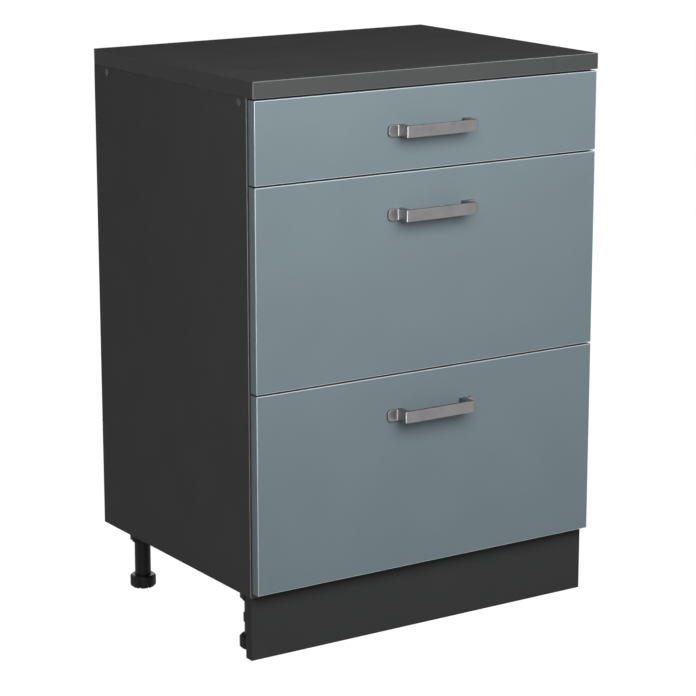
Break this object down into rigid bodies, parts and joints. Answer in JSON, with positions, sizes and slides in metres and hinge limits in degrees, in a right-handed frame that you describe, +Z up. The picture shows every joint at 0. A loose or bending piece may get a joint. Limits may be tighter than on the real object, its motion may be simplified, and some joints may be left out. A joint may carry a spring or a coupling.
{
  "type": "base cabinet with drawers",
  "caption": "Free-standing kitchen base cabinet with worktop, shallow and deep drawers on roller runners, bow handles, plinth board and screw-adjusted levelling feet.",
  "frame": {"origin": "on the floor, under the middle of the unit's overall box, handles included", "axes": "+Z up, the drawers open towards -Y, +X to the right of someone who faces the drawers"},
  "size_m": [0.6016, 0.486, 0.84],
  "materials": {
    "front_lacquer": "matt smoky blue-grey lacquer foil",
    "carcass_laminate": "matt anthracite laminate on chipboard",
    "worktop_laminate": "fine-grained matt dark grey laminate",
    "plinth_laminate": "matt anthracite laminate",
    "back_board": "printed dark grey hardboard",
    "drawer_laminate": "light grey laminate",
    "drawer_base_board": "light grey printed hardboard",
    "handle_metal": "satin brushed nickel",
    "runner_steel": "light grey epoxy-coated steel",
    "fastener_steel": "bright zinc-plated steel",
    "cast_zinc": "cast zinc",
    "roller_plastic": "natural white nylon",
    "black_plastic": "black moulded plastic",
    "glide_plastic": "dark grey hard plastic",
    "cap_plastic": "anthracite moulded plastic",
    "bumper_rubber": "clear grey soft rubber",
    "dowel_wood": "bare fluted beech"
  },
  "bodies": {
    "carcass": {"left_side_panel": "carcass_laminate", "right_side_panel": "carcass_laminate", "bottom_panel": "carcass_laminate", "front_rail": "carcass_laminate", "rear_rail": "carcass_laminate", "back_panel": "back_board", "worktop": "worktop_laminate", "plinth_board": "plinth_laminate", "plinth_clips": "black_plastic", "rail_screws": "fastener_steel", "screw_caps": "cap_plastic", "cam_bolts": "fastener_steel", "cam_housings": "cast_zinc", "dowels": "dowel_wood", "worktop_screws": "fastener_steel", "bumpers": "bumper_rubber", "foot_sockets": "black_plastic", "leg_tubes": "black_plastic", "runner_screws": "fastener_steel", "top_cabinet_runners": "runner_steel", "middle_cabinet_runners": "runner_steel", "bottom_cabinet_runners": "runner_steel"},
    "top_drawer": {"top_front": "front_lacquer", "top_handle": "handle_metal", "top_left_side": "drawer_laminate", "top_right_side": "drawer_laminate", "top_box_back": "drawer_laminate", "top_box_base": "drawer_base_board", "top_drawer_profiles": "runner_steel", "top_fasteners": "fastener_steel"},
    "top_rear_rollers": {"top_rear_rollers": "roller_plastic"},
    "top_front_rollers": {"top_front_rollers": "roller_plastic"},
    "middle_drawer": {"middle_front": "front_lacquer", "middle_handle": "handle_metal", "middle_left_side": "drawer_laminate", "middle_right_side": "drawer_laminate", "middle_box_back": "drawer_laminate", "middle_box_base": "drawer_base_board", "middle_drawer_profiles": "runner_steel", "middle_fasteners": "fastener_steel"},
    "middle_rear_rollers": {"middle_rear_rollers": "roller_plastic"},
    "middle_front_rollers": {"middle_front_rollers": "roller_plastic"},
    "bottom_drawer": {"bottom_front": "front_lacquer", "bottom_handle": "handle_metal", "bottom_left_side": "drawer_laminate", "bottom_right_side": "drawer_laminate", "bottom_box_back": "drawer_laminate", "bottom_box_base": "drawer_base_board", "bottom_drawer_profiles": "runner_steel", "bottom_fasteners": "fastener_steel"},
    "bottom_rear_rollers": {"bottom_rear_rollers": "roller_plastic"},
    "bottom_front_rollers": {"bottom_front_rollers": "roller_plastic"},
    "front_left_glide": {"front_left_glide": "glide_plastic"},
    "front_left_foot": {"front_left_foot": "black_plastic"},
    "front_right_glide": {"front_right_glide": "glide_plastic"},
    "front_right_foot": {"front_right_foot": "black_plastic"},
    "rear_left_glide": {"rear_left_glide": "glide_plastic"},
    "rear_left_foot": {"rear_left_foot": "black_plastic"},
    "rear_right_glide": {"rear_right_glide": "glide_plastic"},
    "rear_right_foot": {"rear_right_foot": "black_plastic"}
  },
  "joints": [
    {"name": "top_drawer_slide", "type": "slide", "parent": "carcass", "child": "top_drawer", "axis": [0, -1, 0], "range_m": [0, 0.3]},
    {"name": "top_rear_rollers_turn", "type": "hinge", "parent": "top_drawer", "child": "top_rear_rollers", "pos_m": [0, 0.184, 0.7198], "axis": [1, 0, 0], "range_deg": [0, 1719]},
    {"name": "top_front_rollers_turn", "type": "hinge", "parent": "carcass", "child": "top_front_rollers", "pos_m": [0, -0.181, 0.7198], "axis": [1, 0, 0], "range_deg": [0, 1719]},
    {"name": "middle_drawer_slide", "type": "slide", "parent": "carcass", "child": "middle_drawer", "axis": [0, -1, 0], "range_m": [0, 0.3]},
    {"name": "middle_rear_rollers_turn", "type": "hinge", "parent": "middle_drawer", "child": "middle_rear_rollers", "pos_m": [0, 0.184, 0.4238], "axis": [1, 0, 0], "range_deg": [0, 1719]},
    {"name": "middle_front_rollers_turn", "type": "hinge", "parent": "carcass", "child": "middle_front_rollers", "pos_m": [0, -0.181, 0.4238], "axis": [1, 0, 0], "range_deg": [0, 1719]},
    {"name": "bottom_drawer_slide", "type": "slide", "parent": "carcass", "child": "bottom_drawer", "axis": [0, -1, 0], "range_m": [0, 0.3]},
    {"name": "bottom_rear_rollers_turn", "type": "hinge", "parent": "bottom_drawer", "child": "bottom_rear_rollers", "pos_m": [0, 0.184, 0.1278], "axis": [1, 0, 0], "range_deg": [0, 1719]},
    {"name": "bottom_front_rollers_turn", "type": "hinge", "parent": "carcass", "child": "bottom_front_rollers", "pos_m": [0, -0.181, 0.1278], "axis": [1, 0, 0], "range_deg": [0, 1719]},
    {"name": "front_left_height", "type": "slide", "parent": "carcass", "child": "front_left_glide", "axis": [0, 0, -1], "range_m": [-0.004, 0.016]},
    {"name": "front_left_foot_turn", "type": "hinge", "parent": "front_left_glide", "child": "front_left_foot", "pos_m": [-0.265, -0.147, 0], "axis": [0, 0, -1], "range_deg": [-361, 1441]},
    {"name": "front_right_height", "type": "slide", "parent": "carcass", "child": "front_right_glide", "axis": [0, 0, -1], "range_m": [-0.004, 0.016]},
    {"name": "front_right_foot_turn", "type": "hinge", "parent": "front_right_glide", "child": "front_right_foot", "pos_m": [0.265, -0.147, 0], "axis": [0, 0, -1], "range_deg": [-361, 1441]},
    {"name": "rear_left_height", "type": "slide", "parent": "carcass", "child": "rear_left_glide", "axis": [0, 0, -1], "range_m": [-0.004, 0.016]},
    {"name": "rear_left_foot_turn", "type": "hinge", "parent": "rear_left_glide", "child": "rear_left_foot", "pos_m": [-0.265, 0.185, 0], "axis": [0, 0, -1], "range_deg": [-361, 1441]},
    {"name": "rear_right_height", "type": "slide", "parent": "carcass", "child": "rear_right_glide", "axis": [0, 0, -1], "range_m": [-0.004, 0.016]},
    {"name": "rear_right_foot_turn", "type": "hinge", "parent": "rear_right_glide", "child": "rear_right_foot", "pos_m": [0.265, 0.185, 0], "axis": [0, 0, -1], "range_deg": [-361, 1441]}
  ],
  "couplings": [
    {"joint": "top_rear_rollers_turn", "follows": "top_drawer_slide", "rad_per_m": 100},
    {"joint": "top_front_rollers_turn", "follows": "top_drawer_slide", "rad_per_m": 100},
    {"joint": "middle_rear_rollers_turn", "follows": "middle_drawer_slide", "rad_per_m": 100},
    {"joint": "middle_front_rollers_turn", "follows": "middle_drawer_slide", "rad_per_m": 100},
    {"joint": "bottom_rear_rollers_turn", "follows": "bottom_drawer_slide", "rad_per_m": 100},
    {"joint": "bottom_front_rollers_turn", "follows": "bottom_drawer_slide", "rad_per_m": 100},
    {"joint": "front_left_foot_turn", "follows": "front_left_height", "rad_per_m": 1570.8},
    {"joint": "front_right_foot_turn", "follows": "front_right_height", "rad_per_m": 1570.8},
    {"joint": "rear_left_foot_turn", "follows": "rear_left_height", "rad_per_m": 1570.8},
    {"joint": "rear_right_foot_turn", "follows": "rear_right_height", "rad_per_m": 1570.8}
  ]
}
